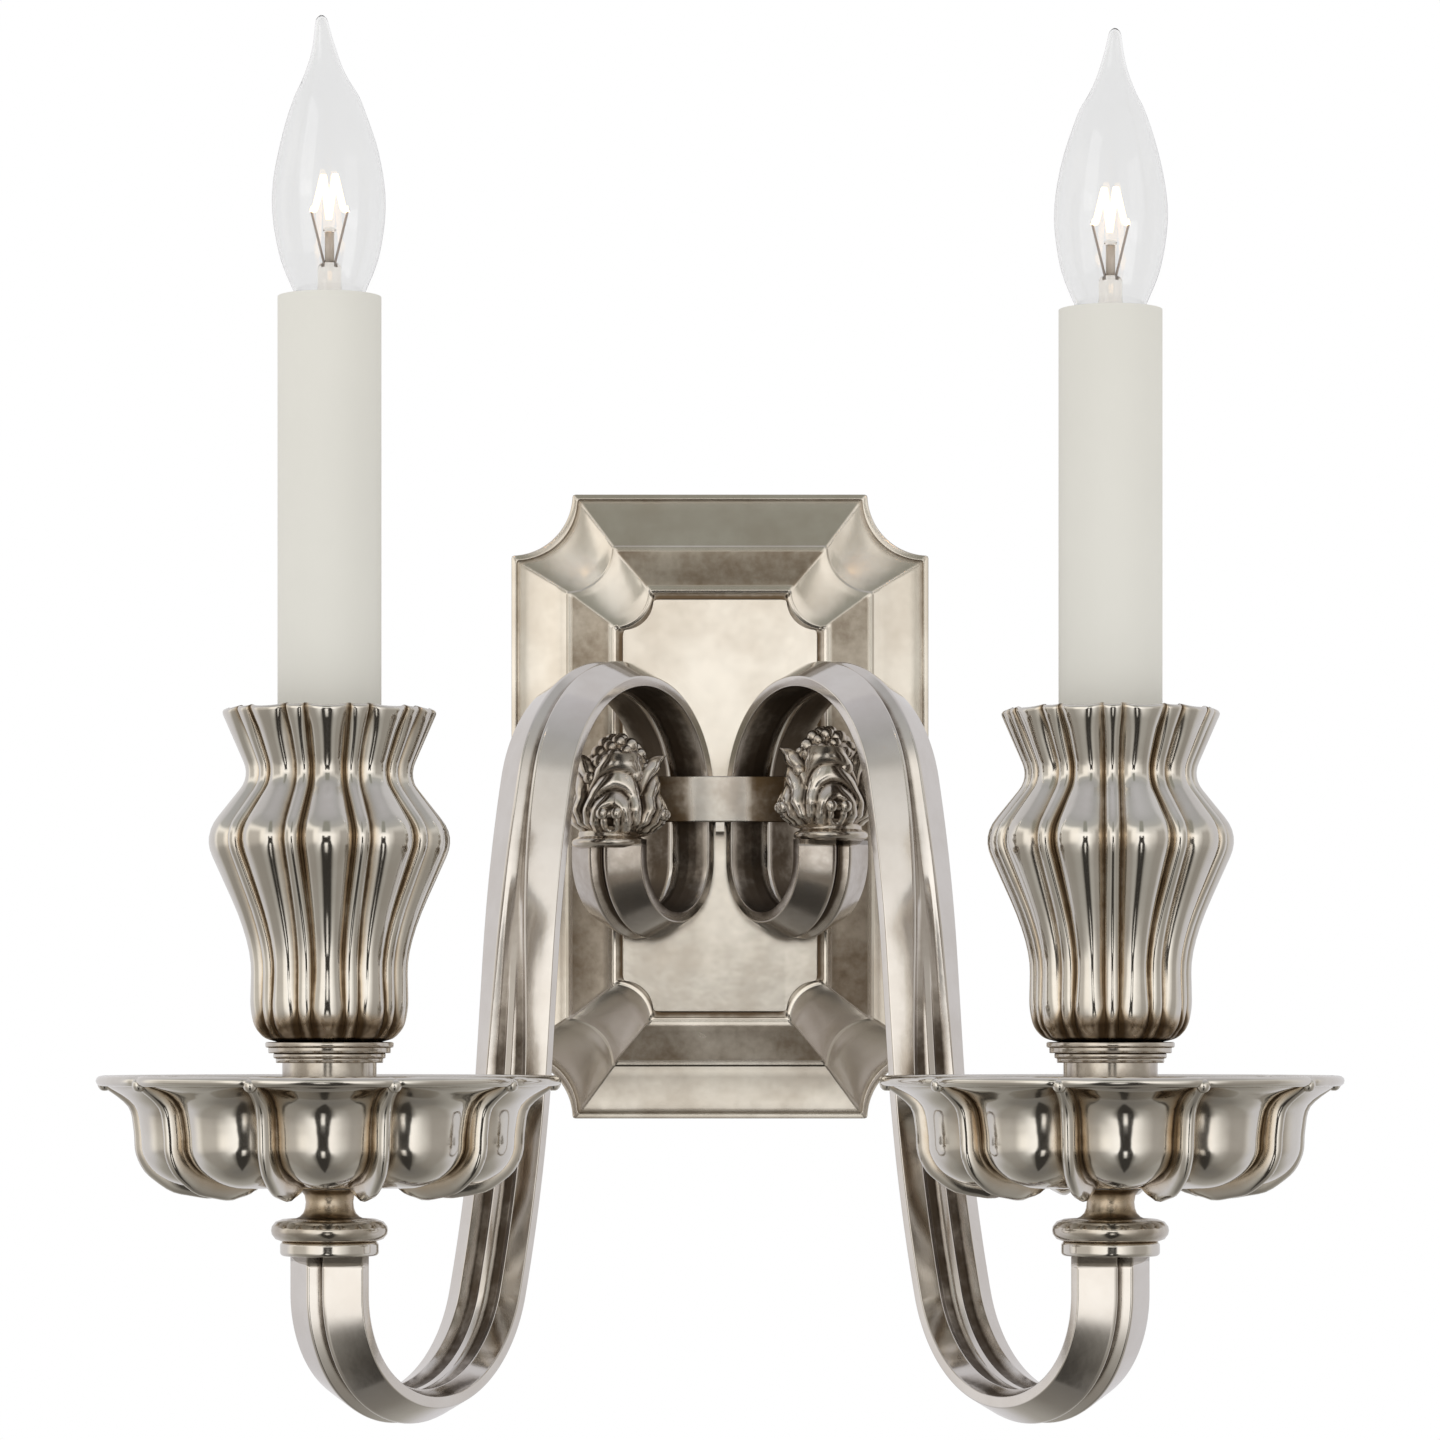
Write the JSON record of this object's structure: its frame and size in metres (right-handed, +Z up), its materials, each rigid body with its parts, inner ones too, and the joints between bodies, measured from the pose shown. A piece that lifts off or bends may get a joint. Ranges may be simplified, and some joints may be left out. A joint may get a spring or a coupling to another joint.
{
  "type": "double arm wall sconce",
  "caption": "Wall light with a stepped backplate with scooped corners, scrolled arms with leaf buds, ribbed drip dishes, fluted cups, candle sleeves and flame-shaped lamps.",
  "frame": {"origin": "centre of the backplate's outline on the wall plane, midway between the two box-screw slots", "axes": "+X to the right as seen from the room, +Y into the wall, +Z up"},
  "size_m": [0.3458, 0.2287, 0.3938],
  "materials": {
    "plated_plate": "satin antiqued silver plate, warm grey mottling",
    "plated_arm": "polished antiqued silver plate",
    "plated_band": "polished silver plate",
    "plated_bud": "polished antiqued silver plate",
    "plated_cup": "polished antiqued silver plate, darker in the grooves",
    "candle_sleeve": "matt off-white",
    "lamp_glass": "clear",
    "stem_glass": "clear",
    "filament_metal": "drawn wire, glowing when lit",
    "bare_brass": "bare, satin",
    "zinc_steel": "zinc plated",
    "holder_black": "moulded, slightly glossy",
    "block_plastic": "moulded, matt",
    "ground_green": "green",
    "wire_cover": "smooth insulation"
  },
  "bodies": {
    "sconce": {"arm_band": "plated_band", "arm_locknuts": "zinc_steel", "arm_nipples": "zinc_steel", "backplate": "plated_plate", "band_lug": "plated_band", "cup_nuts": "zinc_steel", "ground_screw": "ground_green", "grub_screws": "zinc_steel", "left_arm": "plated_arm", "left_arm_cap": "plated_cup", "left_arm_wires": "wire_cover", "left_bud": "plated_bud", "left_bud_collar": "plated_bud", "left_candle_sleeve": "candle_sleeve", "left_centre_contact": "bare_brass", "left_drip_dish": "plated_cup", "left_fluted_cup": "plated_cup", "left_foot_ring": "plated_cup", "left_hollow_rod": "zinc_steel", "left_lampholder_body": "holder_black", "left_lampholder_leg": "zinc_steel", "left_neck_tube": "plated_cup", "left_screw_shell": "bare_brass", "left_stem": "plated_cup", "left_washer": "plated_cup", "mounting_bar": "zinc_steel", "right_arm": "plated_arm", "right_arm_cap": "plated_cup", "right_arm_wires": "wire_cover", "right_bud": "plated_bud", "right_bud_collar": "plated_bud", "right_candle_sleeve": "candle_sleeve", "right_centre_contact": "bare_brass", "right_drip_dish": "plated_cup", "right_fluted_cup": "plated_cup", "right_foot_ring": "plated_cup", "right_hollow_rod": "zinc_steel", "right_lampholder_body": "holder_black", "right_lampholder_leg": "zinc_steel", "right_neck_tube": "plated_cup", "right_screw_shell": "bare_brass", "right_stem": "plated_cup", "right_washer": "plated_cup", "terminal_block": "block_plastic", "terminal_screws": "bare_brass"},
    "left_lamp": {"left_lamp_cap": "bare_brass", "left_lamp_glass": "lamp_glass", "left_lamp_mount": "stem_glass", "left_support_wires": "zinc_steel", "left_filament": "filament_metal"},
    "right_lamp": {"right_lamp_cap": "bare_brass", "right_lamp_glass": "lamp_glass", "right_lamp_mount": "stem_glass", "right_support_wires": "zinc_steel", "right_filament": "filament_metal"}
  },
  "joints": [
    {"name": "left_lamp_turn", "type": "hinge", "parent": "sconce", "child": "left_lamp", "pos_m": [-0.10845, -0.16428, 0.12], "axis": [0, 0, 1], "range_deg": [0, 360]},
    {"name": "right_lamp_turn", "type": "hinge", "parent": "sconce", "child": "right_lamp", "pos_m": [0.10845, -0.16428, 0.12], "axis": [0, 0, 1], "range_deg": [0, 360]}
  ]
}
